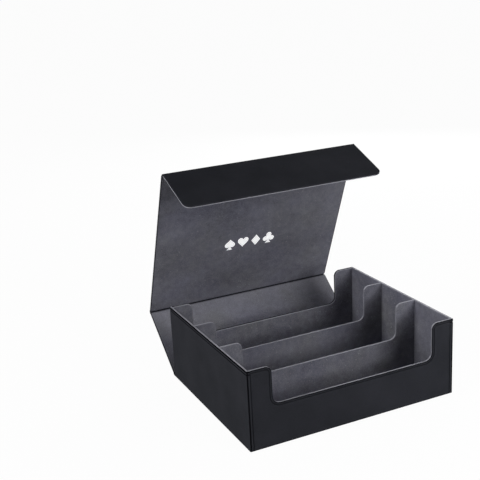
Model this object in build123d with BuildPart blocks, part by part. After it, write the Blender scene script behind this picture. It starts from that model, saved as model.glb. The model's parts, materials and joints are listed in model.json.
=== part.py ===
from build123d import *
import os
from math import pi, radians, tan

# Card storage box, open: a three-row tray with a wrap-around case of spine, lid and flap.
# The tray's foot is centred on the origin, its front faces -Y, and X runs across the rows.

# Overall sizes of the shut box
case_width = 289.6
case_depth = 243.8
case_height = 106.7

# Sheet goods that every wall and panel is laid up from, outside to inside
leather = 0.7
board = 2.0
lining = 0.5

# Room between the tray and the shut case
closing_gap = 0.4

# Cut-out for the fingers in the front wall, the back wall and the dividers
shoulder_width = 32.3
cutout_depth = 49.0
shoulder_radius = 8.5
cutout_radius = 10.0

# Leather of the side walls turned round the tray's corners, and the seam beside it
corner_return = 4.6
seam_gap = 0.4
corner_radius = 0.6

# Front flap
flap_reach = 79.0
flap_inset = 1.0
flap_corner_radius = 10.0

# Closing magnets, hidden in the flap and in the front wall
magnet_diameter = 14.0
magnet_spacing = 144.0
magnet_margin = 14.0
magnet_clearance = 0.1

# Folds of the case as it stands open, in degrees: zero is flat and ninety is shut
spine_fold = 38.5
lid_fold = 74.5
flap_fold = 88.5

# Sizes that follow from those above
panel = leather + board + lining
divider = lining + board + lining
tray_depth = case_depth - 2 * (panel + closing_gap)
tray_height = case_height - panel - closing_gap
half_width = case_width / 2
half_depth = tray_depth / 2
core_width = half_width - leather
core_depth = half_depth - leather
wall_foot = leather + board
floor_top = wall_foot + lining
room_width = half_width - panel
room_depth = half_depth - panel
cutout_half = half_width - shoulder_width
cutout_floor = tray_height - cutout_depth
row_depth = (2 * room_depth - 2 * divider) / 3
divider_place = (row_depth + divider) / 2

# A crease is a strip bent round the corner. Its axis lies where the strip keeps its length, flat or shut.
crease_setback = panel + closing_gap
crease_depth = crease_setback * (1 - pi / 4)
panel_start = crease_setback - crease_depth
spine_pitch = case_height - 2 * crease_depth
lid_pitch = case_depth - 2 * crease_depth
flap_end = flap_reach - crease_depth
flap_half = half_width - flap_inset
pocket_diameter = magnet_diameter + 2 * magnet_clearance


# Planes of the folding panels: x across, y along the panel from its crease, z towards the inside

def next_panel(plane, pitch, fold):
    """Plane of the panel that hangs on the far crease of another one, folded inwards."""
    crease = plane.from_local_coords((0, pitch, 0))
    return Plane(crease, x_dir=plane.x_dir, z_dir=plane.z_dir).rotated((fold, 0, 0))


base_pitch = case_depth / 2 - crease_depth
base_plane = Plane((0, 0, crease_depth))
spine_plane = next_panel(base_plane, base_pitch, spine_fold)
lid_plane = next_panel(spine_plane, spine_pitch, lid_fold)
flap_plane = next_panel(lid_plane, lid_pitch, flap_fold)


# Profiles that several pieces share

def notched_face(place, half, foot, inset):
    """Upright wall at Y = place with rounded shoulders beside its cut-out, inset along the free edge."""
    top = tray_height - inset
    edge = cutout_half + inset
    sill = cutout_floor - inset
    with BuildSketch(Plane.XZ.offset(-place)) as face:
        with BuildLine():
            Polyline(
                (-half, foot), (half, foot), (half, top), (edge, top),
                (edge, sill), (-edge, sill), (-edge, top), (-half, top), close=True,
            )
        make_face()
        fillet(face.vertices().group_by(Axis.Y)[1], cutout_radius + inset)
        fillet(face.vertices().group_by(Axis.Y)[-1].sort_by(Axis.X)[1:-1], shoulder_radius - inset)
    return face.sketch


def strip_face(plane, level, half, start, end):
    """Rectangle across a panel, from start to end along it, at a level above its outer face."""
    with BuildSketch(plane.offset(level - crease_depth)) as face:
        with Locations((0, (start + end) / 2)):
            Rectangle(2 * half, end - start)
    return face.sketch


def flap_face(level, inset):
    """Outline of the flap with its two round corners, inset all round."""
    with BuildSketch(flap_plane.offset(level - crease_depth)) as face:
        start = panel_start + inset
        end = flap_end - inset
        with Locations((0, (start + end) / 2)):
            Rectangle(2 * (flap_half - inset), end - start)
        fillet(face.vertices().group_by(Axis.Y)[-1], flap_corner_radius - inset)
    return face.sketch


def crease_face(plane, pitch, fold, half, low, high):
    """Bent strip between two panels, seen from its end, from low to high above the outer face."""
    start = plane.from_local_coords((-half, pitch - panel_start, -crease_depth))
    tangent = panel_start + crease_depth * tan(radians(fold / 2))
    bend = tangent / tan(radians(fold / 2))
    with BuildSketch(Plane(start, x_dir=plane.y_dir, z_dir=plane.x_dir)) as face:
        with BuildLine():
            outer = CenterArc((0, bend), bend - low, -90, fold)
            inner = CenterArc((0, bend), bend - high, -90, fold)
            Line(outer @ 0, inner @ 0)
            Line(outer @ 1, inner @ 1)
        make_face()
    return face.sketch


def magnet_face(plane, height, diameter):
    """Two discs side by side, at a height along the plane."""
    with BuildSketch(plane) as face:
        with Locations((0, height)):
            with GridLocations(magnet_spacing, magnet_spacing, 2, 1):
                Circle(diameter / 2)
    return face.sketch


os.makedirs("parts", exist_ok=True)


def keep(piece, name):
    """Names a finished piece and writes it."""
    piece.part.label = name
    export_step(piece.part, f"parts/{name}.step")


# Base: leather underneath, a board on it and lining over the floor of the rows
with BuildPart() as base_cover:
    with BuildSketch():
        Rectangle(case_width, tray_depth)
    extrude(amount=leather)
    fillet(base_cover.edges().filter_by(Axis.Z).group_by(Axis.Y)[0], corner_radius)
keep(base_cover, "base_cover")

with BuildPart() as base_board:
    with BuildSketch(Plane.XY.offset(leather)):
        Rectangle(2 * core_width, 2 * core_depth)
    extrude(amount=board)
keep(base_board, "base_board")

with BuildPart() as floor_lining:
    with BuildSketch(Plane.XY.offset(wall_foot)):
        Rectangle(2 * room_width, 2 * room_depth)
    extrude(amount=lining)
keep(floor_lining, "floor_lining")

# Left and right walls: the boards run the full depth, and the leather turns both corners
for name, side in (("left", -1), ("right", 1)):
    with BuildPart() as side_cover:
        with BuildSketch(Plane.XY.offset(leather)) as channel:
            with Locations((side * (half_width - corner_return / 2), 0)):
                Rectangle(corner_return, tray_depth)
            fillet(channel.vertices().sort_by(Axis.X)[::-side][:2], corner_radius)
            with Locations((side * (core_width - corner_return / 2), 0)):
                Rectangle(corner_return, 2 * core_depth, mode=Mode.SUBTRACT)
        extrude(amount=tray_height - leather)
    keep(side_cover, f"{name}_wall_cover")

    with BuildPart() as side_board:
        with BuildSketch(Plane.XY.offset(wall_foot)):
            with Locations((side * (core_width - board / 2), 0)):
                Rectangle(board, 2 * core_depth)
        extrude(amount=tray_height - lining - wall_foot)
    keep(side_board, f"{name}_wall_board")

    with BuildPart() as side_lining:
        with BuildSketch(Plane.XY.offset(wall_foot)):
            with Locations((side * (room_width + lining / 2), 0)):
                Rectangle(lining, 2 * room_depth)
        extrude(amount=tray_height - wall_foot)
        with BuildSketch(Plane.XY.offset(tray_height)):
            with Locations((side * (core_width - board / 2), 0)):
                Rectangle(board, 2 * core_depth)
        extrude(amount=-lining)
    keep(side_lining, f"{name}_wall_lining")

# Front and back walls: notched boards between the side walls, with the lining turned over the free edge
board_half = core_width - board
cover_half = half_width - corner_return - seam_gap
wall_magnet_plane = Plane.XZ.offset(core_depth)
wall_magnet_place = case_height - flap_reach + magnet_margin
for name, side in (("front", -1), ("back", 1)):
    with BuildPart() as wall_cover:
        extrude(notched_face(side * half_depth, cover_half, leather, 0), amount=side * leather)
    keep(wall_cover, f"{name}_wall_cover")

    with BuildPart() as wall_board:
        extrude(notched_face(side * core_depth, board_half, wall_foot, lining), amount=side * board)
        if name == "front":
            pockets = magnet_face(wall_magnet_plane, wall_magnet_place, pocket_diameter)
            extrude(pockets, amount=-board, mode=Mode.SUBTRACT)
    keep(wall_board, f"{name}_wall_board")

    with BuildPart() as wall_lining:
        extrude(notched_face(side * core_depth, board_half, wall_foot, 0), amount=side * (board + lining))
        extrude(
            notched_face(side * core_depth, board_half, wall_foot, lining),
            amount=side * board,
            mode=Mode.SUBTRACT,
        )
    keep(wall_lining, f"{name}_wall_lining")

with BuildPart() as front_wall_magnets:
    extrude(magnet_face(wall_magnet_plane, wall_magnet_place, magnet_diameter), amount=-board)
keep(front_wall_magnets, "front_wall_magnets")

# Dividers: notched boards in a sleeve of lining, standing on the lined floor
for name, side in (("front", -1), ("rear", 1)):
    face_place = side * divider_place + divider / 2
    board_place = face_place - lining
    with BuildPart() as divider_board:
        extrude(notched_face(board_place, room_width, floor_top, lining), amount=board)
    keep(divider_board, f"{name}_divider_board")

    with BuildPart() as divider_lining:
        extrude(notched_face(face_place, room_width, floor_top, 0), amount=divider)
        extrude(
            notched_face(board_place, room_width, floor_top, lining),
            amount=board,
            mode=Mode.SUBTRACT,
        )
    keep(divider_lining, f"{name}_divider_lining")

# Spine and lid: a board with leather turned round its side edges and lining turned down into the creases
for name, plane, pitch in (("spine", spine_plane, spine_pitch), ("lid", lid_plane, lid_pitch)):
    start = panel_start
    end = pitch - panel_start
    with BuildPart() as panel_cover:
        extrude(strip_face(plane, 0, half_width, start, end), amount=panel)
        extrude(strip_face(plane, leather, core_width, start, end), amount=board + lining, mode=Mode.SUBTRACT)
        long_edges = panel_cover.edges().filter_by(Axis(plane.origin, plane.y_dir))
        fillet(long_edges.group_by(Axis(plane.origin, plane.z_dir))[0], corner_radius)
    keep(panel_cover, f"{name}_cover")

    with BuildPart() as panel_board:
        extrude(strip_face(plane, leather, core_width, start + lining, end - lining), amount=board)
    keep(panel_board, f"{name}_board")

    with BuildPart() as panel_lining:
        extrude(strip_face(plane, leather, core_width, start, end), amount=board + lining)
        extrude(
            strip_face(plane, leather, core_width, start + lining, end - lining),
            amount=board,
            mode=Mode.SUBTRACT,
        )
    keep(panel_lining, f"{name}_lining")

# Flap: leather outside, a board with the magnets let in, and lining turned out over the whole edge
flap_magnet_place = flap_end - magnet_margin
flap_magnet_plane = flap_plane.offset(leather - crease_depth)
with BuildPart() as flap_cover:
    extrude(flap_face(0, 0), amount=leather)
keep(flap_cover, "flap_cover")

with BuildPart() as flap_board:
    extrude(flap_face(leather, lining), amount=board)
    pockets = magnet_face(flap_magnet_plane, flap_magnet_place, pocket_diameter)
    extrude(pockets, amount=board, mode=Mode.SUBTRACT)
keep(flap_board, "flap_board")

with BuildPart() as flap_lining:
    extrude(flap_face(leather, 0), amount=board + lining)
    extrude(flap_face(leather, lining), amount=board, mode=Mode.SUBTRACT)
keep(flap_lining, "flap_lining")

with BuildPart() as flap_magnets:
    extrude(magnet_face(flap_magnet_plane, flap_magnet_place, magnet_diameter), amount=board)
keep(flap_magnets, "flap_magnets")

# Creases: the leather and the lining run on between the panels, glued together as one flexible strip
creases = (
    ("base", base_plane, base_pitch, spine_fold, half_width, core_width),
    ("lid", spine_plane, spine_pitch, lid_fold, half_width, core_width),
    ("flap", lid_plane, lid_pitch, flap_fold, flap_half, core_width - flap_inset),
)
for name, plane, pitch, fold, cover_reach, lining_reach in creases:
    with BuildPart() as crease_cover:
        extrude(crease_face(plane, pitch, fold, cover_reach, 0, leather), amount=2 * cover_reach)
    keep(crease_cover, f"{name}_crease_cover")

    with BuildPart() as crease_lining:
        strip = crease_face(plane, pitch, fold, lining_reach, leather, leather + lining)
        extrude(strip, amount=2 * lining_reach)
    keep(crease_lining, f"{name}_crease_lining")
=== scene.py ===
import json
from math import cos, pi, radians, sin, tan

import bmesh
import bpy
from mathutils import Matrix, Vector


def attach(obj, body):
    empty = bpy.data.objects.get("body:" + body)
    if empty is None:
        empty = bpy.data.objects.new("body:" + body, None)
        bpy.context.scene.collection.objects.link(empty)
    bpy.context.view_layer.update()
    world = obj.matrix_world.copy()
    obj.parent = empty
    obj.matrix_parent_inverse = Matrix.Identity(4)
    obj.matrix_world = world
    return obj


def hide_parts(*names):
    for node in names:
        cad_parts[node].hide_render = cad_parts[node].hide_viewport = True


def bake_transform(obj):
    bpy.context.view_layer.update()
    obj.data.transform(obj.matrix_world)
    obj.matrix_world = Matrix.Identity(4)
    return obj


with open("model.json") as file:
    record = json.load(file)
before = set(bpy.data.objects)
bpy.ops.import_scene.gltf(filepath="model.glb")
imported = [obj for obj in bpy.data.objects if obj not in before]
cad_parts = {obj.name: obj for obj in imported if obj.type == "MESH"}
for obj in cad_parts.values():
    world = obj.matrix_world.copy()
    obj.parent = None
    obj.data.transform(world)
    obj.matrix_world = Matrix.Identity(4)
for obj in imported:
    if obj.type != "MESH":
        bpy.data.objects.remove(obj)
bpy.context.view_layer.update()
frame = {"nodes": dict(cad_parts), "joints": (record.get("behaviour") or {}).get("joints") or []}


# Cores
# Grey millboard, cut to size for every wall, divider and folding panel and glued edge to edge.
# Cover and lining hide it, so the solids stay as they are and take a finish of pressed pulp.

class Shade:
    """A socket of a node tree. Sums on it add Math nodes, and node() adds any other kind of node."""

    def __init__(self, tree, socket=None):
        self.tree = tree
        self.socket = socket

    def node(self, kind, settings=(), sockets=(), output=0):
        """New node: its settings first, then values or links for its sockets, by name or by number."""
        made = self.tree.nodes.new(kind)
        for name, value in dict(settings).items():
            setattr(made, name, value)
        for name, value in dict(sockets).items():
            self.feed(made, name, value)
        return Shade(self.tree, [socket for socket in made.outputs if socket.enabled][output])

    def feed(self, made, name, value):
        """Links a Shade to a node's socket, or sets a plain value on it."""
        shown = [socket for socket in made.inputs if socket.enabled]
        named = {socket.name: socket for socket in reversed(shown)}
        socket = shown[name] if isinstance(name, int) else named[name]
        if isinstance(value, Shade):
            self.tree.links.new(value.socket, socket)
        else:
            socket.default_value = value

    def math(self, operation, *values):
        """Math node on this tree, with its values or links in order."""
        return self.node("ShaderNodeMath", {"operation": operation}, dict(enumerate(values)))

    def __add__(self, other):
        return self.math("ADD", self, other)

    def __sub__(self, other):
        return self.math("SUBTRACT", self, other)

    def __rsub__(self, other):
        return self.math("SUBTRACT", other, self)

    def __mul__(self, other):
        return self.math("MULTIPLY", self, other)

    def __truediv__(self, other):
        return self.math("DIVIDE", self, other)

    __radd__ = __add__
    __rmul__ = __mul__


def screen_colour(red, green, blue):
    """Colour for a socket, from the values that it has on a screen."""
    shares = [value / 255 for value in (red, green, blue)]
    return (*[s / 12.92 if s < 0.04 else ((s + 0.055) / 1.055) ** 2.4 for s in shares], 1.0)


def new_finish(name, constants):
    """Material with one shader, whose even values are set on the shader's own sockets."""
    material = bpy.data.materials.new(name)
    material.use_nodes = True
    shader = material.node_tree.nodes["Principled BSDF"]
    for socket, value in constants.items():
        shader.inputs[socket].default_value = value
    return material, shader, Shade(material.node_tree)


def object_place(shade):
    """Where a point of the piece lies, in metres."""
    return shade.node("ShaderNodeTexCoord", output=3)


def cloud(shade, place, pitch, detail=2.0, roughness=0.5):
    """Soft noise about zero, with patches about as wide as pitch."""
    sockets = {"Vector": place, "Scale": 1 / pitch, "Detail": detail, "Roughness": roughness}
    return shade.node("ShaderNodeTexNoise", sockets=sockets) - 0.5


def between(shade, first, second, share):
    """Colour that goes from the first to the second as share goes from 0 to 1."""
    sockets = {"Factor": share, "A": first, "B": second}
    return shade.node("ShaderNodeMix", {"data_type": "RGBA"}, sockets)


def raise_surface(shade, shader, height, depth, strength):
    """Bump of a real depth, in metres, from a height of about 0 to 1."""
    sockets = {"Height": height, "Distance": depth, "Strength": strength}
    shade.feed(shader, "Normal", shade.node("ShaderNodeBump", sockets=sockets))


def make_greyboard():
    """Pressed waste-paper pulp: grey-brown, with darker and lighter flecks."""
    dark_pulp = screen_colour(98, 94, 88)
    pale_pulp = screen_colour(152, 147, 139)
    material, shader, shade = new_finish("greyboard", {"Specular IOR Level": 0.2})
    place = object_place(shade)
    pulp = cloud(shade, place, pitch=0.007, detail=3.0)
    fleck = cloud(shade, place, pitch=0.0009, detail=3.0, roughness=0.7)
    tone = 0.5 + 0.7 * pulp + 1.2 * fleck
    shade.feed(shader, "Base Color", between(shade, dark_pulp, pale_pulp, tone))
    shade.feed(shader, "Roughness", 0.88 + 0.2 * fleck)
    raise_surface(shade, shader, fleck + 0.5, depth=0.0001, strength=0.6)
    return material


def repaint(ending, material):
    """Gives a finish to the solids whose names have that ending."""
    for name, solid in frame["nodes"].items():
        if name.endswith(ending):
            for slot in solid.material_slots:
                slot.material = material


repaint("_board", make_greyboard())


# Magnets
# Nickel-plated discs, two in the front wall and two in the flap, pressed into holes in the boards.
# Lining and cover hide them too, so the solids stay.

def make_nickel():
    """Bright plating with the fine scratches of loose discs."""
    dull_plate = screen_colour(176, 172, 164)
    bright_plate = screen_colour(205, 203, 198)
    material, shader, shade = new_finish("nickel_plate", {"Metallic": 1.0})
    place = object_place(shade)
    haze = cloud(shade, place, pitch=0.004)
    scratch = cloud(shade, place, pitch=0.0004, detail=4.0, roughness=0.8)
    shade.feed(shader, "Base Color", between(shade, dull_plate, bright_plate, 0.5 + haze))
    shade.feed(shader, "Roughness", 0.28 + 0.3 * haze + 0.2 * scratch)
    raise_surface(shade, shader, scratch + 0.5, depth=0.00003, strength=0.4)
    return material


repaint("_magnets", make_nickel())


# Base cover
# Black leather-like sheet glued under the base board, its edges pressed round.
# It is what the box stands on.

def make_leather():
    """Coated cloth with a fine pebble grain: black, satin, a little rubbed along the edges, with painted
    shade in its pressed lines and rolled edges and painted highlights on the ridges beside them.
    """
    dark_hide = screen_colour(35, 36, 40)
    pale_hide = screen_colour(51, 52, 58)
    rubbed_and_lit_hide = screen_colour(66, 66, 72)
    pressed_and_shaded_hide = screen_colour(6, 6, 8)
    pebble_pitch = 0.0012
    sway_pitch = 0.003
    sway_reach = 0.0009
    furrow_slope = 5.0
    constants = {"Specular IOR Level": 0.0, "Coat Roughness": 0.45}
    material, shader, shade = new_finish("black_leather", constants)
    place = object_place(shade)
    sway_sockets = {"Vector": place, "Scale": 1 / sway_pitch, "Detail": 2.0}
    sway = shade.node("ShaderNodeTexNoise", sockets=sway_sockets, output=1)
    loose = shade.node(
        "ShaderNodeVectorMath", {"operation": "MULTIPLY_ADD"}, {0: sway, 1: (sway_reach,) * 3, 2: place}
    )
    pebbles = shade.node(
        "ShaderNodeTexVoronoi", {"feature": "SMOOTH_F1"},
        {"Vector": loose, "Scale": 1 / pebble_pitch, "Smoothness": 0.35},
    )
    furrows = shade.node(
        "ShaderNodeTexVoronoi", {"feature": "DISTANCE_TO_EDGE"}, {"Vector": loose, "Scale": 1 / pebble_pitch}
    )
    pores = cloud(shade, place, pitch=0.0003, detail=3.0, roughness=0.6)
    patches = cloud(shade, place, pitch=0.045, detail=3.0)
    scuffs = cloud(shade, place, pitch=0.006, detail=3.0)
    valley = 1 - shade.math("MINIMUM", furrows * furrow_slope, 1.0)
    # The edge value carries wear and painted light: rubbed edges and painted highlights above zero, pressed
    # lines, dark joints and painted shade below zero.
    edge = shade.node("ShaderNodeAttribute", {"attribute_name": "edge"}, output=2)
    rubbed_and_lit = shade.math("MAXIMUM", edge * (0.55 + 1.2 * scuffs), 0.0)
    pressed_and_shaded = shade.math("MAXIMUM", edge * -1.0, 0.0)
    tone = 0.45 + 0.6 * patches + 0.35 * pores - 0.3 * valley
    hide = between(shade, dark_hide, pale_hide, tone)
    worn = between(shade, hide, rubbed_and_lit_hide, 0.3 * rubbed_and_lit)
    shade.feed(shader, "Base Color", between(shade, worn, pressed_and_shaded_hide, 0.85 * pressed_and_shaded))
    shade.feed(shader, "Coat Weight", (0.07 + 0.06 * patches) * (1 - pressed_and_shaded))
    shade.feed(shader, "Roughness", 0.58 + 0.2 * patches + 0.12 * pores + 0.1 * valley - 0.06 * rubbed_and_lit)
    grain = 1.0 - pebbles - 0.35 * valley + 0.35 * pores
    raise_surface(shade, shader, grain, depth=0.00007, strength=0.55)
    return material


leather = make_leather()
across, deep, upright = Vector((1, 0, 0)), Vector((0, 1, 0)), Vector((0, 0, 1))

# Wear and painted light at a point, which the finishes read as edge: pale marks rubbing and painted
# highlights, plain is left as it is, dark marks pressing, dark joints and painted shade.
pale, plain, dark = 1.0, 0.0, -1.0


def span(node, axis, origin=Vector()):
    """How far a solid reaches from an origin along an axis, as its least and its greatest distance."""
    reach = [(vertex.co - origin).dot(axis) for vertex in frame["nodes"][node].data.vertices]
    return min(reach), max(reach)


def arc(centre, radius, start, end, steps=8):
    """Points of a round corner, with angles in degrees."""
    turns = [radians(start + (end - start) * i / steps) for i in range(steps + 1)]
    return [(centre[0] + radius * cos(a), centre[1] + radius * sin(a)) for a in turns]


def quarter_round(radius, steps=4):
    """Insets and drops of a rounded edge, from the face to the side."""
    turns = [pi / 2 * i / steps for i in range(steps + 1)]
    return [(radius * (1 - sin(a)), radius * (1 - cos(a))) for a in turns]


def sheet_steps(face, back, face_round, back_round):
    """Inset, level and wear of a sheet's loops, from the middle of its face round the edge to its back."""
    margin = 0.0015
    up = 1 if face > back else -1
    steps = [(face_round + margin, face, plain)]
    steps += [(inset, face - up * drop, pale) for inset, drop in quarter_round(face_round)]
    steps += [(inset, back + up * drop, pale) for inset, drop in reversed(quarter_round(back_round))]
    return steps + [(back_round + margin, back, plain)]


def laid_out(outline, place, steps):
    """Loops of a flat piece: its outline at each inset, put in place at that step's level."""
    return [[(*place(u, v, level), wear) for u, v in outline(inset)] for inset, level, wear in steps]


def lying(x, y, z):
    """Point of a sheet that lies on the floor."""
    return x, y, z


def add_shell(bm, loops, hollow=False):
    """Adds a closed skin over loops of equal counts, with a face over each end.

    A hollow one faces inwards.
    """
    merge_distance = 1e-7
    shell = bmesh.new()
    wear_layer = shell.verts.layers.float.new("edge")
    rings = []
    for loop in loops:
        ring = [shell.verts.new(point[:3]) for point in loop]
        for vertex, point in zip(ring, loop):
            vertex[wear_layer] = point[3]
        rings.append(ring)
    for low, high in zip(rings, rings[1:]):
        for i in range(len(low)):
            shell.faces.new((low[i - 1], low[i], high[i], high[i - 1]))
    shell.faces.new(rings[0])
    shell.faces.new(rings[-1])
    bmesh.ops.remove_doubles(shell, verts=shell.verts, dist=merge_distance)
    bmesh.ops.recalc_face_normals(shell, faces=shell.faces)
    if hollow:
        bmesh.ops.reverse_faces(shell, faces=shell.faces)
    ends = [face for face in shell.faces if len(face.verts) > 4]
    bmesh.ops.triangulate(shell, faces=ends, ngon_method="BEAUTY")
    mesh = bpy.data.meshes.new("shell")
    shell.to_mesh(mesh)
    shell.free()
    bm.from_mesh(mesh)
    bpy.data.meshes.remove(mesh)


def make_piece(name, material, shells, hollows=()):
    """Smooth-shaded object of closed skins, at the origin."""
    sharp_from = radians(40)
    bm = bmesh.new()
    for loops in shells:
        add_shell(bm, loops)
    for loops in hollows:
        add_shell(bm, loops, hollow=True)
    mesh = bpy.data.meshes.new(name)
    bm.to_mesh(mesh)
    bm.free()
    mesh.shade_smooth()
    mesh.set_sharp_from_angle(angle=sharp_from)
    mesh.materials.append(material)
    piece = bpy.data.objects.new(name, mesh)
    bpy.context.scene.collection.objects.link(piece)
    return piece


def fit(piece, body, slot, *nodes):
    """A piece rides on a body and stands for its solids. The slot is not used."""
    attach(piece, body)
    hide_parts(*nodes)


half_width = span("base_cover", across)[1]
half_depth = span("base_cover", deep)[1]
leather_thick = span("base_cover", upright)[1]
foot_round = 0.0006
tuck_round = 0.0001
corner_round = 0.0008


def base_outline(inset):
    """Foot of the tray, with its upright corners rounded."""
    x, y, r = half_width - inset, half_depth - inset, corner_round
    quarters = ((x - r, -y + r, -90), (x - r, y - r, 0), (-x + r, y - r, 90), (-x + r, -y + r, 180))
    return [point for cx, cy, start in quarters for point in arc((cx, cy), r, start, start + 90, steps=5)]


base_steps = sheet_steps(0.0, leather_thick, foot_round, tuck_round)
base = make_piece("base_leather", leather, [laid_out(base_outline, lying, base_steps)])
fit(base, "tray", "cover_leather", "base_cover")


# Side wall covers
# Black leather over the left and right walls, turned round all four corners of the tray.
# The top edge is rolled, with a line pressed in under it, and another line runs down each corner.
# The lines and the roll are painted dark as shade, with painted highlights on the ridges beside the lines and
# on the corner's round.

tray_top = span("left_wall_cover", upright)[1]
corner_return = half_width - span("right_wall_cover", across)[0]
roll_round = 0.0009
lip = 0.00008
edge_depth = 0.0019
hem_depth = 0.0046
line_depth = 0.0004
line_half = 0.0006
line_slope = 0.0003
corner_half = 0.0004
seam_reach = 0.0005
seam_fall = 0.0005
wall_margin = 0.004
# Painted highlight on the ridges beside the pressed lines and on the side half of the corner's round; the
# corner's front half is made dark.
ridge_highlight = 0.5
corner_highlight = 0.3
corner_fold_dark = -0.9
seam_wear = -0.4


def pressed_line(place, half=line_half, depth=line_depth):
    """Place, depth and wear across a line pressed into the leather.

    It is flat and painted dark as shade, with a painted highlight on the ridge at each side.
    """
    reach = half + line_slope
    near = [(place - reach, 0.0, ridge_highlight), (place - half, depth, dark)]
    return near + [(place + half, depth, dark), (place + reach, 0.0, ridge_highlight)]


def rolled_edge(start, end, steps=5):
    """Insets and drops along the tray's rolled edge, between two insets."""
    insets = [start + (end - start) * i / steps for i in range(steps + 1)]
    return [(inset, roll_round - (roll_round ** 2 - (roll_round - inset) ** 2) ** 0.5) for inset in insets]


def side_outline(inset):
    """Plan of the right-hand cover: outside from front to back, then inside from back to front."""
    x, y, r = half_width - inset, half_depth - inset, corner_round - inset
    seam, inside = half_width - corner_return, half_depth - leather_thick
    deepest = inside + lip / 2
    back_half = [(x, 0.0, plain), (x, y - wall_margin, plain)]
    for u, v in arc((x - r, y - r), r, 0, 90, steps=6):
        on_side = u - x + r > v - y + r
        back_half.append((u, v, corner_highlight if on_side else corner_fold_dark))
    for place, depth, wear in pressed_line(corner_half + line_slope, corner_half)[1:]:
        back_half.append((x - r - place, max(y - depth, deepest), wear))
    back_half += [(seam + seam_reach + line_slope, y, ridge_highlight), (seam + seam_reach, y, seam_wear)]
    back_half += [(seam, max(y - seam_fall, deepest), dark)]
    back_half += [(seam, inside, dark), (half_width - leather_thick, inside, plain)]
    front_half = [(u, -v, wear) for u, v, wear in reversed(back_half[1:])]
    return front_half + back_half


def side_levels():
    """Heights, insets and wear of the cover's loops, from its foot to its top edge."""
    levels = [(leather_thick + drop, inset, plain) for inset, drop in quarter_round(tuck_round, steps=2)]
    levels += [(leather_thick + wall_margin, 0.0, plain), (tray_top - hem_depth - wall_margin, 0.0, plain)]
    levels += [(tray_top - place, inset, wear) for place, inset, wear in reversed(pressed_line(hem_depth))]
    # The band from the ridge up over the rolled edge is painted dark, as shade.
    levels += [(tray_top - edge_depth - line_slope, 0.0, ridge_highlight), (tray_top - edge_depth, 0.0, dark)]
    return levels + [(tray_top - drop, inset, dark) for inset, drop in rolled_edge(0.0, leather_thick - lip)]


def stronger(first, second):
    """The wear that differs more from plain."""
    return first if abs(first) > abs(second) else second


for side, sign in (("left", -1), ("right", 1)):
    loops = [
        [(sign * x, y, z, stronger(turned, wear)) for x, y, turned in side_outline(inset)]
        for z, inset, wear in side_levels()
    ]
    cover = make_piece(f"{side}_wall_leather", leather, [loops])
    fit(cover, "tray", "cover_leather", f"{side}_wall_cover")


# Front and back wall covers
# Black leather panels cut to the walls' cut-outs, butted against the leather turned round the corners.
# A pressed line follows the cut-out and the shoulders, painted dark as shade with painted highlights beside
# it, and the rolled free edge is painted dark as shade.

shoulder_width = 0.0323
cutout_depth = 0.049
shoulder_radius = 0.0085
cutout_radius = 0.010
cutout_half = half_width - shoulder_width
cutout_floor = tray_top - cutout_depth
panel_half = half_width - corner_return
panel_margin = 0.003
rim_place = 0.0034
rim_depth = 0.0003
# Painted shade on the rolled free edge of each panel.
rim_shade = -0.6
rim_line_share = 0.6
run_out = 0.0006
glued_share = 0.1


def notched_outline(half, foot, inset, side_inset=0.0):
    """Wall with a cut-out between round shoulders.

    It is drawn in along its free edge, and a little along its glued ones.
    """
    edge, sill, head = cutout_half + inset, cutout_floor - inset, tray_top - inset
    shoulder, corner = shoulder_radius - inset, cutout_radius + inset
    end, low = half - side_inset - glued_share * inset, foot + glued_share * inset
    right = [(end - run_out, low), (end, low), (end, head), (end - run_out, head)]
    right += arc((edge + shoulder, head - shoulder), shoulder, 90, 180)
    right += arc((edge - corner, sill + corner), corner, 0, -90)
    return right + [(-x, z) for x, z in reversed(right)]


def panel_loops(sign):
    """Loops of a leather panel: the line pressed beside its free edge, the rolled edge, and the end seams."""
    line = reversed(pressed_line(rim_place, depth=rim_depth))
    roll = [(drop, inset) for inset, drop in rolled_edge(0.0, leather_thick - lip)]
    steps = [(rim_place + panel_margin, 0.0, plain, 0.0, plain)]
    steps += [(place, depth, wear * rim_line_share, 0.0, seam_wear) for place, depth, wear in line]
    steps += [(inset, drop, rim_shade, drop, seam_wear if drop < seam_fall else dark) for inset, drop in roll]
    steps += [(inset, leather_thick, plain, leather_thick, dark) for inset in (roll[-1][0], rim_place)]
    end_points = (1, 2, -3, -2)
    loops = []
    for inset, drop, wear, end_drop, end_light_and_shade in steps:
        seam = seam_reach * max(1 - end_drop / seam_fall, 0.0)
        outline = notched_outline(panel_half, leather_thick, inset, seam)
        loop = [(x, sign * (half_depth - drop), z, wear) for x, z in outline]
        for i in end_points:
            x, z = outline[i]
            loop[i] = (x, sign * (half_depth - end_drop), z, end_light_and_shade)
        loops.append(loop)
    return loops


for wall, sign in (("front", -1), ("back", 1)):
    cover = make_piece(f"{wall}_wall_leather", leather, [panel_loops(sign)])
    fit(cover, "tray", "cover_leather", f"{wall}_wall_cover")


# Floor lining
# Grey suede sheet glued over the base board, under the dividers.
# It is cut to the room between the four walls.

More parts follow.
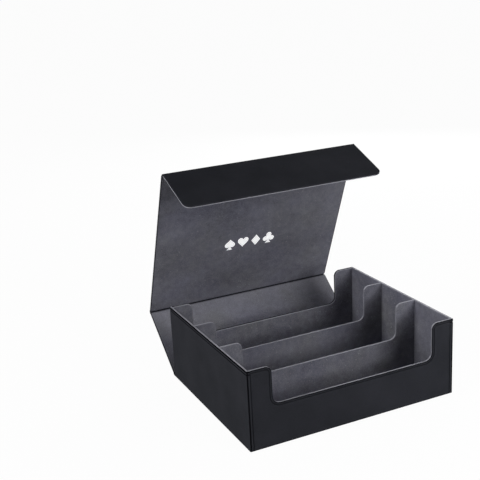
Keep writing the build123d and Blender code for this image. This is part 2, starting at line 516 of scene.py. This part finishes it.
def make_suede():
    """Brushed microfibre: grey with a hint of blue, patchy where the nap lies over, paler on turned edges
    where the nap is rubbed and light is painted on, darker where shade is painted into creases and edges.
    """
    dark_cool, pale_cool = screen_colour(82, 82, 93), screen_colour(124, 124, 137)
    dark_warm, pale_warm = screen_colour(83, 83, 87), screen_colour(125, 125, 130)
    speck_colour = screen_colour(165, 166, 172)
    rubbed_and_lit_nap = screen_colour(186, 186, 194)
    pressed_and_shaded_nap = screen_colour(22, 22, 26)
    brush_stretch = (1.8, 1.0, 1.0)
    speck_pitch = 0.005
    speck_reach = 0.0009
    constants = {"Specular IOR Level": 0.08, "Sheen Weight": 0.25, "Sheen Roughness": 0.45}
    constants["Sheen Tint"] = screen_colour(190, 192, 205)
    material, shader, shade = new_finish("grey_suede", constants)
    place = object_place(shade)
    brushed = shade.node(
        "ShaderNodeMapping", {"vector_type": "TEXTURE"}, {"Vector": place, "Scale": brush_stretch}
    )
    swathes = cloud(shade, brushed, pitch=0.050, detail=3.0, roughness=0.55)
    warmth = cloud(shade, place, pitch=0.065, detail=3.0, roughness=0.6)
    blotches = cloud(shade, place, pitch=0.009, detail=4.0, roughness=0.6)
    nap = cloud(shade, place, pitch=0.0011, detail=3.0, roughness=0.65)
    fibres = cloud(shade, place, pitch=0.0003, detail=2.0, roughness=0.7)
    drifts = cloud(shade, place, pitch=0.03, detail=2.0)
    # Pale specks over the nap: lint, and painted glints of single fibres.
    speck_sockets = {"Vector": place, "Scale": 1 / speck_pitch}
    speck_cells = shade.node("ShaderNodeTexVoronoi", {"feature": "F1"}, speck_sockets)
    specks = 1 - shade.math("MINIMUM", (speck_cells + 0.25 * nap) * (speck_pitch / speck_reach), 1.0)
    lint_and_glints = shade.math("MINIMUM", specks * shade.math("MAXIMUM", 0.45 + 3.0 * drifts, 0.0), 1.0)
    # The edge value carries wear and painted light: rubbed nap and painted highlights above zero, dark joints
    # and painted shade below zero.
    edge = shade.node("ShaderNodeAttribute", {"attribute_name": "edge"}, output=2)
    rubbed_and_lit = shade.math("MAXIMUM", edge * (0.58 + 0.8 * nap), 0.0)
    pressed_and_shaded = shade.math("MAXIMUM", edge * -1.0, 0.0)
    tone = 0.5 + 0.95 * swathes + 0.9 * blotches + 1.6 * nap + 1.0 * fibres
    cool = between(shade, dark_cool, pale_cool, tone)
    warm = between(shade, dark_warm, pale_warm, tone)
    cloth = between(shade, cool, warm, 0.4 + 2.4 * warmth)
    specked = between(shade, cloth, speck_colour, 0.9 * lint_and_glints)
    worn = between(shade, specked, rubbed_and_lit_nap, rubbed_and_lit)
    shade.feed(shader, "Base Color", between(shade, worn, pressed_and_shaded_nap, pressed_and_shaded))
    shade.feed(shader, "Roughness", 0.92 + 0.1 * nap)
    pile = 0.5 + 0.5 * blotches + nap + 0.6 * fibres
    raise_surface(shade, shader, pile, depth=0.00022, strength=0.5)
    return material


suede = make_suede()
floor_foot, floor_top = span("floor_lining", upright)
lining_thick = floor_top - floor_foot
room_width = span("floor_lining", across)[1]
room_depth = span("floor_lining", deep)[1]
lining_round = 0.0002


def floor_outline(inset):
    """Floor of the tray, between its walls."""
    x, y = room_width - inset, room_depth - inset
    return [(-x, -y), (x, -y), (x, y), (-x, y)]


floor_steps = sheet_steps(floor_top, floor_foot, lining_round, lining_round / 2)
floor_steps = [(inset, level, plain) for inset, level, wear in floor_steps]
floor = make_piece("floor_suede", suede, [laid_out(floor_outline, lying, floor_steps)])
fit(floor, "tray", "suede_lining", "floor_lining")


# Side wall linings
# Suede glued up the inside of the left and right walls and turned over the board's top edge.
# The turned strip runs the tray's full depth, between the leather and the room.

turn_round = 0.0009
turn_steps = 5
# The turned edges grow paler towards their tops: rubbed nap, with painted light where they face up.
first_wear = 0.2
wear_step = 0.16
turn_wear = [first_wear + wear_step * i for i in range(turn_steps + 1)]
board_face, board_back = span("right_wall_board", across)
board_top = span("right_wall_board", upright)[1]
board_depth = span("right_wall_board", deep)[1]
turned_roll = rolled_edge(leather_thick, roll_round)


def over_board(cap):
    """Part of a section: the strip over the board's top, towards the leather and back, kept under a cap."""
    over = [(half_width - inset, min(tray_top - drop, cap), pale) for inset, drop in reversed(turned_roll)]
    return over + [(board_back, board_top, plain), (board_face, board_top, plain)]


def lining_section():
    """Section of a side lining: up the wall, round the edge and over the board."""
    up = [(board_face, floor_foot, plain), (room_width, floor_foot, plain)]
    up += [(room_width, tray_top - turn_round * 2, plain)]
    turn = arc((room_width + turn_round, tray_top - turn_round), turn_round, 180, 90, steps=turn_steps)
    return up + [(u, z, wear) for (u, z), wear in zip(turn, turn_wear)] + over_board(tray_top)


def end_section(cap):
    """Section past the room's end, where only the strip runs on.

    It has as many points as the lining's section, with those of the wall drawn up to the strip.
    """
    drawn_up = [(board_face, board_top, plain)] * 3 + [(board_face, cap, pale)] * turn_steps
    return drawn_up + [(room_width + turn_round, cap, pale)] + over_board(cap)


strip_end = [(half_depth - inset, end_section(tray_top - drop)) for inset, drop in turned_roll]
strip_end += [(room_depth, end_section(tray_top)), (room_depth, lining_section())]
sections = [(-y, section) for y, section in strip_end] + list(reversed(strip_end))
for side, sign in (("left", -1), ("right", 1)):
    loops = [[(sign * u, y, z, wear) for u, z, wear in section] for y, section in sections]
    lining = make_piece(f"{side}_wall_suede", suede, [loops])
    fit(lining, "tray", "suede_lining", f"{side}_wall_lining")


# Front and back wall linings
# Suede glued to the inside of the notched walls and turned over the whole free edge,
# round the shoulders and along the cut-out, to meet the leather outside.

wall_half = span("front_wall_lining", across)[1]
# The back wall's edge is painted pale on its front and dark over its top, as painted light and painted shade;
# the front wall takes the turned edges' marks.
wall_rub_and_shade = {"front": turn_wear, "back": (0.8, 1.0, 0.2, -0.8, -1.0, -1.0)}


def wall_lining_outline(inset):
    """Lining of a notched wall, as wide as the board that it is glued to."""
    return notched_outline(wall_half, floor_foot, inset)


def paint_light_on_level_edges(loops):
    """Keeps the pale of level edges and lowers it on upright ones: painted light, since level edges face the
    light from above.
    """
    upright_share = 0.3
    low, high = cutout_floor + cutout_radius / 2, tray_top - shoulder_radius / 2
    return [
        [(x, y, z, wear * upright_share if wear > 0 and low < z < high else wear) for x, y, z, wear in loop]
        for loop in loops
    ]


for wall, sign in (("front", -1), ("back", 1)):
    edge_marks = wall_rub_and_shade[wall]
    turn = quarter_round(turn_round, steps=turn_steps)
    steps = [(turn_round * 2, room_depth, plain)]
    steps += [(inset, room_depth + drop, wear) for (inset, drop), wear in zip(turn, edge_marks)]
    steps += [(drop, half_depth - inset, edge_marks[-1]) for inset, drop in reversed(turned_roll)]
    steps += [(lining_thick, board_depth, plain), (lining_thick, room_depth + lining_thick, plain)]
    loops = laid_out(wall_lining_outline, lambda x, z, y: (x, sign * y, z), steps)
    lining = make_piece(f"{wall}_wall_suede", suede, [paint_light_on_level_edges(loops)])
    fit(lining, "tray", "suede_lining", f"{wall}_wall_lining")


# Dividers
# Two notched boards in a sleeve of suede, glued between the side walls to part the three rows.
# The sleeve is drawn over the free edge, which is rounded all the way.

divider_round = 0.0007


def divider_outline(inset):
    """Outside of the sleeve, from side wall to side wall."""
    return notched_outline(room_width, floor_top, inset)


def core_outline(inset):
    """Inside of the sleeve, where the board is."""
    return notched_outline(room_width - lining_round, floor_top + lining_round, lining_thick + inset)


def standing(x, z, y):
    """Point of a sheet that stands across the box."""
    return x, y, z


for divider in ("front_divider", "rear_divider"):
    near, far = span(f"{divider}_lining", deep)
    rise = list(enumerate(quarter_round(divider_round, steps=5)))
    steps = [(divider_round * 2, near, plain)]
    steps += [(inset, near + drop, wear_step * i) for i, (inset, drop) in rise]
    steps += [(inset, far - drop, wear_step * i) for i, (inset, drop) in reversed(rise)]
    steps += [(divider_round * 2, far, plain)]
    core_steps = [(0.0, near + lining_thick, plain), (0.0, far - lining_thick, plain)]
    outside = paint_light_on_level_edges(laid_out(divider_outline, standing, steps))
    inside = laid_out(core_outline, standing, core_steps)
    sleeve = make_piece(f"{divider}_suede", suede, [outside], [inside])
    fit(sleeve, "tray", "suede_lining", f"{divider}_lining")


# Spine and lid covers
# Black leather over the two big folding panels, turned round their side edges in a soft hem.
# Top and bottom it runs on into the creases.

joints = {joint["name"]: joint for joint in frame["joints"]}


class Panel:
    """A folding panel: along runs from its crease, inner points into the box, both from the crease's axis."""

    def __init__(self, joint, slope):
        self.axis = Vector(joints[joint]["pos_m"])
        self.along = Vector((0, cos(slope), sin(slope)))
        self.inner = Vector((0, -sin(slope), cos(slope)))

    def place(self, x, along, level):
        """Point of the panel, from its place across, along and above the crease's axis."""
        return self.axis + across * x + self.along * along + self.inner * level

    def reach(self, node):
        """Where a solid starts and ends along the panel."""
        return span(node, self.along, self.axis)

    def levels(self, node):
        """Where a solid starts and ends above the crease's axis."""
        return span(node, self.inner, self.axis)


folds = [radians(joints[name]["range_deg"][1]) for name in ("base_crease", "lid_crease", "flap_crease")]
base_panel = Panel("base_crease", 0.0)
spine = Panel("base_crease", folds[0])
lid = Panel("lid_crease", folds[0] + folds[1])
flap = Panel("flap_crease", sum(folds))
core_half = half_width - leather_thick
hem_round = 0.0011
hem_margin = 0.008
hem_wear = 0.4
cut_round = 0.0003
cut_wear = 0.8


def channel_profile(low, high):
    """Section across a panel's cover: round the outside, then back along the board."""
    hem = arc((half_width - hem_round, low + hem_round), hem_round, -90, 0, steps=5)
    cut = arc((half_width - cut_round, high - cut_round), cut_round, 0, 90, steps=3)
    right = [(0.0, low, plain), (half_width - hem_margin, low, plain)]
    right += [(half_width - hem_round * 2, low, hem_wear)]
    right += [(x, z, pale) for x, z in hem + cut]
    right += [(core_half, high, cut_wear), (core_half, low + leather_thick, plain)]
    return right + [(-x, z, wear) for x, z, wear in reversed(right[1:])]


for name, panel in (("spine", spine), ("lid", lid)):
    low, high = panel.levels(f"{name}_cover")
    profile = channel_profile(low, high)
    loops = [[(*panel.place(x, y, z), wear) for x, z, wear in profile] for y in panel.reach(f"{name}_cover")]
    cover = make_piece(f"{name}_leather", leather, [loops])
    fit(cover, name, "cover_leather", f"{name}_cover")


# Spine and lid linings
# Suede glued over the boards inside the leather hem and turned down into the creases,
# so that each crease is a narrow valley between two soft edges, painted dark as shade. Light and shade are
# painted along each top: darker at the spine's foot and the lid's head, paler at the spine's head.

crease_round = 0.0006
crease_margin = 0.0016
# Painted shade on the linings' rounds turned down into each crease.
crease_shade = -0.15
# Painted shade and light along each lining's top: the spine darker at its foot and paler at its head, the lid
# a touch paler at its foot and darker at its head under the flap.
spine_light_and_shade = (-0.4, 0.38)
lid_light_and_shade = (0.06, -0.22)


def turned_profile(reach, levels, inset, end_light_and_shade):
    """Section along a panel's lining: over the board and down both ends, then back under."""
    start, end = reach
    low, high = levels
    top, near, far = high - inset, start + inset, end - inset
    shoulder = top - crease_round
    near_turn = arc((near + crease_round, shoulder), crease_round, 180, 90, steps=4)[1:]
    far_turn = arc((far - crease_round, shoulder), crease_round, 90, 0, steps=4)[:-1]
    # The ends turned down into the creases are painted dark, as shade.
    over = [(near, low, dark), (near, shoulder, dark)]
    over += [(y, z, crease_shade) for y, z in near_turn]
    over += [(near + crease_margin, top, end_light_and_shade[0]), (far - crease_margin, top, end_light_and_shade[1])]
    over += [(y, z, crease_shade) for y, z in far_turn]
    over += [(far, shoulder, dark), (far, low, dark)]
    under = [(end - lining_thick, z, plain) for z in (low, high - lining_thick)]
    return over + under + [(start + lining_thick, z, plain) for z in (high - lining_thick, low)]


for name, panel, end_light_and_shade in (("spine", spine, spine_light_and_shade), ("lid", lid, lid_light_and_shade)):
    reach, levels = panel.reach(f"{name}_lining"), panel.levels(f"{name}_lining")
    right = [(core_half - aside, drop) for aside, drop in quarter_round(lining_round, steps=3)]
    left = [(-x, drop) for x, drop in reversed(right)]
    loops = [
        [(*panel.place(x, y, z), wear) for y, z, wear in turned_profile(reach, levels, drop, end_light_and_shade)]
        for x, drop in left + right
    ]
    lining = make_piece(f"{name}_suede", suede, [loops])
    fit(lining, name, "suede_lining", f"{name}_lining")


# Flap cover
# Black leather panel on the outside of the front flap, with two round corners.
# It meets the turned lining just inside the edge.

flap_half = span("flap_cover", across)[1]
flap_start, flap_end = flap.reach("flap_cover")
flap_corner = 0.010
flap_round = 0.0004


def flap_outline(inset):
    """Flap with its two free corners rounded."""
    x, start, end, r = flap_half - inset, flap_start + inset, flap_end - inset, flap_corner - inset
    free = arc((x - r, end - r), r, 0, 90)
    return [(-x, start), (x, start)] + free + [(-u, v) for u, v in reversed(free)]


flap_steps = sheet_steps(*flap.levels("flap_cover"), flap_round, tuck_round)
cover = make_piece("flap_leather", leather, [laid_out(flap_outline, flap.place, flap_steps)])
fit(cover, "flap", "cover_leather", "flap_cover")


# Flap lining
# Suede over the inside of the flap, turned out over its whole edge to meet the leather.
# From above, the turned edge shows as a pale line round the black panel: rubbed nap, brightened further with
# a painted highlight.

flap_seam = 0.0009
flap_wear_step = 0.24
# The rim is rubbed pale and brightened past the rub with a painted highlight.
flap_rim_rub_and_highlight = 1.4
flap_seam_wear = -0.9
low, high = flap.levels("flap_lining")
turn = quarter_round(turn_round, steps=turn_steps)
steps = [(turn_round * 2, high, plain)]
steps += [(inset, high - drop, first_wear + flap_wear_step * i) for i, (inset, drop) in enumerate(turn)]
steps += [(0.0, low + flap_seam + line_slope, flap_rim_rub_and_highlight), (0.0, low + flap_seam, flap_seam_wear)]
steps += [(inset, low + drop, flap_seam_wear) for inset, drop in reversed(quarter_round(lining_round))]
steps += [(lining_thick, low, flap_seam_wear), (lining_thick, high - lining_thick, plain)]
lining = make_piece("flap_suede", suede, [laid_out(flap_outline, flap.place, steps)])
fit(lining, "flap", "suede_lining", "flap_lining")


# Lid print
# White ink on the lid's lining, a row of the four suits of a card pack.
# It is a thin film that sits on the nap.

def make_ink():
    """Matt ink, made whiter than white by a painted glow, and thin where the nap stands through it."""
    thin_ink = screen_colour(214, 214, 218)
    full_ink = screen_colour(255, 255, 255)
    # The ink glows a little, as painted light, though it is no lamp.
    painted_glow = {"Emission Color": (1, 1, 1, 1), "Emission Strength": 0.4}
    material, shader, shade = new_finish("white_ink", {"Specular IOR Level": 0.25, **painted_glow})
    place = object_place(shade)
    nap = cloud(shade, place, pitch=0.0007, detail=3.0, roughness=0.65)
    worn = cloud(shade, place, pitch=0.006, detail=2.0)
    shade.feed(shader, "Base Color", between(shade, thin_ink, full_ink, 0.75 + 1.1 * nap + 0.5 * worn))
    shade.feed(shader, "Roughness", 0.7 + 0.3 * nap)
    raise_surface(shade, shader, nap + 0.5, depth=0.0001, strength=0.5)
    return material


pip_height = 0.019
pip_pitch = 0.0205
pip_place = 0.101
ink_thick = 0.00008
ink_step = 0.000005


def disc(x, y, radius, points=24):
    """Round leaf of a club."""
    return arc((x, y), radius, 0, 360 - 360 / points, steps=points - 1)


def heart_outline(width, height, foot, points=40):
    """Heart as wide and as high as given, its point at the foot. A negative height turns it over."""
    curve_foot, curve_height = 17, 28.9
    turns = [2 * pi * i / points for i in range(points)]
    rises = [13 * cos(a) - 5 * cos(2 * a) - 2 * cos(3 * a) - cos(4 * a) for a in turns]
    shares = [(rise + curve_foot) / curve_height for rise in rises]
    return [(width / 2 * sin(a) ** 3, foot + height * share) for a, share in zip(turns, shares)]


def stem_outline(waist, flare, foot, height, steps=6):
    """Stem of a spade or a club, hollowed towards its waist."""
    hollowing = 2.5
    rises = [i / steps for i in range(steps + 1)]
    side = [(waist + flare * (1 - share) ** hollowing, foot + height * share) for share in rises]
    return side + [(-x, y) for x, y in reversed(side)]


# The pips' outlines are in shares of a pip's height, about its middle.
stem = stem_outline(waist=0.05, flare=0.19, foot=-0.5, height=0.45)
spade = [heart_outline(width=0.84, height=-0.76, foot=0.5), stem]
heart = [heart_outline(width=0.88, height=0.9, foot=-0.46)]
diamond = [[(0.0, 0.5), (-0.37, 0.0), (0.0, -0.5), (0.37, 0.0)]]
club = [disc(0.0, 0.28, 0.22), disc(-0.25, -0.07, 0.22), disc(0.25, -0.07, 0.22), disc(0.0, 0.03, 0.14), stem]
pips = (spade, heart, diamond, club)
nap_level = lid.levels("lid_lining")[1]
shells = []
for i, parts in enumerate(pips):
    middle = (i - (len(pips) - 1) / 2) * pip_pitch
    for j, outline in enumerate(parts):
        ink_top = nap_level + ink_thick - ink_step * j
        points = [(middle + pip_height * x, pip_place + pip_height * y) for x, y in outline]
        shells.append([[(*lid.place(x, y, z), plain) for x, y in points] for z in (nap_level, ink_top)])
printed = make_piece("lid_print", make_ink(), shells)
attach(printed, "lid")


# Creases
# Leather and suede run on between the panels, glued face to face as one flexible strip.
# Each strip is bent once round its fold and stays as it is.

def make_strip_tree():
    """Geometry nodes for a flat strip bent to an arc, from its start along +Y, with +Z inside the bend."""
    tree = bpy.data.node_groups.new("bent_strip", "GeometryNodeTree")
    kinds = {"Half Width": "Float", "Length": "Float", "Fold": "Float", "Bend": "Float", "Low": "Float"}
    kinds |= {"High": "Float", "Wear": "Float", "Steps": "Int", "Material": "Material"}
    for name, kind in kinds.items():
        tree.interface.new_socket(name, in_out="INPUT", socket_type=f"NodeSocket{kind}")
    tree.interface.new_socket("Geometry", in_out="OUTPUT", socket_type="NodeSocketGeometry")
    shade = Shade(tree)
    given = tree.nodes.new("NodeGroupInput")
    sizes = {name: Shade(tree, given.outputs[name]) for name in kinds}
    thick = sizes["High"] - sizes["Low"]
    size_sockets = {"X": sizes["Half Width"] * 2.0, "Y": sizes["Length"], "Z": thick}
    size = shade.node("ShaderNodeCombineXYZ", sockets=size_sockets)
    block_sockets = {"Size": size, "Vertices X": 2, "Vertices Y": sizes["Steps"], "Vertices Z": 2}
    block = shade.node("GeometryNodeMeshCube", sockets=block_sockets)
    place = {"Vector": shade.node("GeometryNodeInputPosition")}
    x, y, z = (shade.node("ShaderNodeSeparateXYZ", sockets=place, output=i) for i in range(3))
    angle = (y / sizes["Length"] + 0.5) * sizes["Fold"]
    radius = sizes["Bend"] - (z + (sizes["Low"] + sizes["High"]) * 0.5)
    bent_y = radius * shade.math("SINE", angle)
    bent_z = sizes["Bend"] - radius * shade.math("COSINE", angle)
    bent = shade.node("ShaderNodeCombineXYZ", sockets={"X": x, "Y": bent_y, "Z": bent_z})
    strip = shade.node("GeometryNodeSetPosition", sockets={"Geometry": block, "Position": bent})
    wear_sockets = {"Geometry": strip, "Name": "edge", "Value": sizes["Wear"]}
    marked = shade.node("GeometryNodeStoreNamedAttribute", sockets=wear_sockets)
    smooth = shade.node("GeometryNodeSetShadeSmooth", sockets={0: marked})
    whole = shade.node("GeometryNodeRealizeInstances", sockets={"Geometry": smooth})
    finish_sockets = {"Geometry": whole, "Material": sizes["Material"]}
    dressed = shade.node("GeometryNodeSetMaterial", sockets=finish_sockets)
    shade.feed(tree.nodes.new("NodeGroupOutput"), "Geometry", dressed)
    return tree


strip_tree = make_strip_tree()
strip_identifiers = {item.name: item.identifier for item in strip_tree.interface.items_tree}
strip_steps = 17
strip_bevel = 0.00012
bevel_from = radians(60)
strip_sharp_from = radians(50)


def bent_strip(name, material, sizes, start, panel):
    """Piece bent by the tree, moved so that it starts at a point and runs on from a panel."""
    piece = bpy.data.objects.new(name, bpy.data.meshes.new(name))
    bpy.context.scene.collection.objects.link(piece)
    bending = piece.modifiers.new("bend", "NODES")
    bending.node_group = strip_tree
    for size, value in {**sizes, "Steps": strip_steps, "Material": material}.items():
        bending[strip_identifiers[size]] = value
    bevel = piece.modifiers.new("soft edges", "BEVEL")
    bevel.width = strip_bevel
    bevel.segments = 2
    bevel.limit_method = "ANGLE"
    bevel.angle_limit = bevel_from
    made = piece.evaluated_get(bpy.context.evaluated_depsgraph_get())
    mesh = bpy.data.meshes.new_from_object(made)
    piece.modifiers.clear()
    piece.data = mesh
    mesh.materials.clear()
    mesh.materials.append(material)
    turned = Matrix((across, panel.along, panel.inner)).transposed().to_4x4()
    mesh.transform(Matrix.Translation(start) @ turned)
    mesh.set_sharp_from_angle(angle=strip_sharp_from)
    return piece


axis_level = base_panel.axis.z
gap_reach = spine.reach("spine_cover")[0]
lined_thick = leather_thick + lining_thick
leather_strip_wear = 0.1
# The suede strip in each crease's valley is painted dark, as shade.
suede_strip_shade = -0.9
creases = (
    ("base_crease", base_panel, spine, folds[0], ("tray", "spine")),
    ("lid_crease", spine, lid, folds[1], ("spine", "lid")),
    ("flap_crease", lid, flap, folds[2], ("lid", "flap")),
)
for name, before, after, fold, bodies in creases:
    tangent = gap_reach + axis_level * tan(fold / 2)
    bend = tangent / tan(fold / 2)
    start = after.axis - before.along * gap_reach - before.inner * axis_level
    end = after.axis + after.along * gap_reach - after.inner * axis_level
    layers = (
        ("leather", leather, "cover_leather", f"{name}_cover", 0.0, leather_thick, leather_strip_wear),
        ("suede", suede, "suede_lining", f"{name}_lining", leather_thick, lined_thick, suede_strip_shade),
    )
    for layer, material, slot, node, low, high, wear in layers:
        sizes = {"Half Width": span(node, across)[1], "Length": bend * fold, "Fold": fold, "Bend": bend}
        sizes |= {"Low": low, "High": high, "Wear": wear}
        strip = bent_strip(f"{name}_{layer}", material, sizes, start, before)
        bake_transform(strip)
        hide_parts(node)


# Floor and light
# A plain white floor that keeps the box's shadow, under soft lamps in front, at the left, above and behind.
# What camera and reflections see of the floor and of the backdrop's lower part is white.

def seen_share(shade):
    """1 for rays from the camera, reflections and glass, and 0 for the light that reaches other surfaces."""
    path = shade.node("ShaderNodeLightPath").socket.node
    kinds = ("Camera", "Glossy", "Transmission")
    camera_ray, glossy_ray, glass_ray = (Shade(shade.tree, path.outputs[f"Is {kind} Ray"]) for kind in kinds)
    return shade.math("MAXIMUM", shade.math("MAXIMUM", camera_ray, glossy_ray), glass_ray)


def make_floor_paper():
    """Matt white paper with a slight tooth, which glows for the camera so that its shadows stay faint."""
    dark_paper = screen_colour(225, 225, 226)
    pale_paper = screen_colour(235, 235, 236)
    glow_share = 0.97
    material, shader, shade = new_finish("white_floor", {"Roughness": 0.9, "Specular IOR Level": 0.1})
    tooth = cloud(shade, object_place(shade), pitch=0.004, detail=3.0)
    shade.feed(shader, "Base Color", between(shade, dark_paper, pale_paper, tooth + 0.5))
    glow = shade.node("ShaderNodeEmission", sockets={"Color": (1, 1, 1, 1), "Strength": 1.0})
    matt = Shade(shade.tree, shader.outputs[0])
    mixed = shade.node("ShaderNodeMixShader", sockets={0: seen_share(shade) * glow_share, 1: matt, 2: glow})
    shade.feed(shade.tree.nodes["Material Output"], "Surface", mixed)
    return material


floor_reach = 60.0
floor_gap = 0.0002
corners = [(floor_reach * x, floor_reach * y, -floor_gap) for x, y in ((-1, -1), (1, -1), (1, 1), (-1, 1))]
ground_mesh = bpy.data.meshes.new("ground")
ground_mesh.from_pydata(corners, [], [(0, 1, 2, 3)])
ground_mesh.materials.append(make_floor_paper())
ground = bpy.data.objects.new("ground", ground_mesh)
bpy.context.scene.collection.objects.link(ground)

world = bpy.data.worlds.new("studio")
bpy.context.scene.world = world
world.use_nodes = True
sky = Shade(world.node_tree)
ambient = 0.015
zenith_share = 0.12
fade_slope = 2.5
fade_start = 0.15
backdrop = world.node_tree.nodes["Background"]
backdrop.inputs["Color"].default_value = (1, 1, 1, 1)
direction = {"Vector": sky.node("ShaderNodeTexCoord", output=0)}
steepness = sky.node("ShaderNodeSeparateXYZ", sockets=direction, output=2)
low_sky = 1 - sky.math("MINIMUM", sky.math("MAXIMUM", steepness * fade_slope - fade_start, 0.0), 1.0)
brightness = seen_share(sky) * (1 - ambient) + ambient
sky.feed(backdrop, "Strength", brightness * (low_sky * (1 - zenith_share) + zenith_share))
box_middle = Vector((0.0, 0.05, 0.1))


def add_lamp(name, turn, height, distance, width, rise, power):
    """Soft lamp that points at the box, from an angle round from the front and an angle up."""
    lamp = bpy.data.lights.new(name, "AREA")
    lamp.shape = "RECTANGLE"
    lamp.size = width
    lamp.size_y = rise
    lamp.energy = power
    holder = bpy.data.objects.new(name, lamp)
    bpy.context.scene.collection.objects.link(holder)
    turn, height = radians(turn), radians(height)
    ray = Vector((sin(turn) * cos(height), -cos(turn) * cos(height), sin(height)))
    holder.location = box_middle + ray * distance
    holder.rotation_euler = ray.to_track_quat("Z", "Y").to_euler()


add_lamp("key", turn=18.0, height=20.0, distance=1.1, width=0.5, rise=0.5, power=3.95)
add_lamp("low_key", turn=14.0, height=14.0, distance=1.1, width=0.5, rise=0.12, power=1.55)
add_lamp("near", turn=38.0, height=24.0, distance=0.8, width=0.4, rise=0.4, power=1.27)
add_lamp("fill", turn=-90.0, height=20.0, distance=2.4, width=1.1, rise=1.1, power=38.0)
add_lamp("overhead", turn=0.0, height=75.0, distance=1.1, width=0.5, rise=0.5, power=1.3)
add_lamp("back", turn=142.0, height=18.0, distance=1.6, width=0.8, rise=0.8, power=14.0)


# Camera
# Set where the photograph was taken from, in front and to the left, a little above the box.

camera_place = (-0.546539, -0.995530, 0.565876)
camera_azimuth = -24.684
camera_elevation = 17.581
camera_roll = -3.18
camera_lens = 70.222
camera = bpy.data.objects.new("camera", bpy.data.cameras.new("camera"))
bpy.context.scene.collection.objects.link(camera)
camera.data.lens = camera_lens
camera.data.sensor_width = 36.0
heading = Matrix.Rotation(radians(camera_azimuth), 4, "Z")
tilt = Matrix.Rotation(radians(90 - camera_elevation), 4, "X")
roll = Matrix.Rotation(radians(camera_roll), 4, "Z")
camera.matrix_world = Matrix.Translation(camera_place) @ heading @ tilt @ roll
bpy.context.scene.camera = camera
bpy.context.scene.view_settings.view_transform = "Standard"
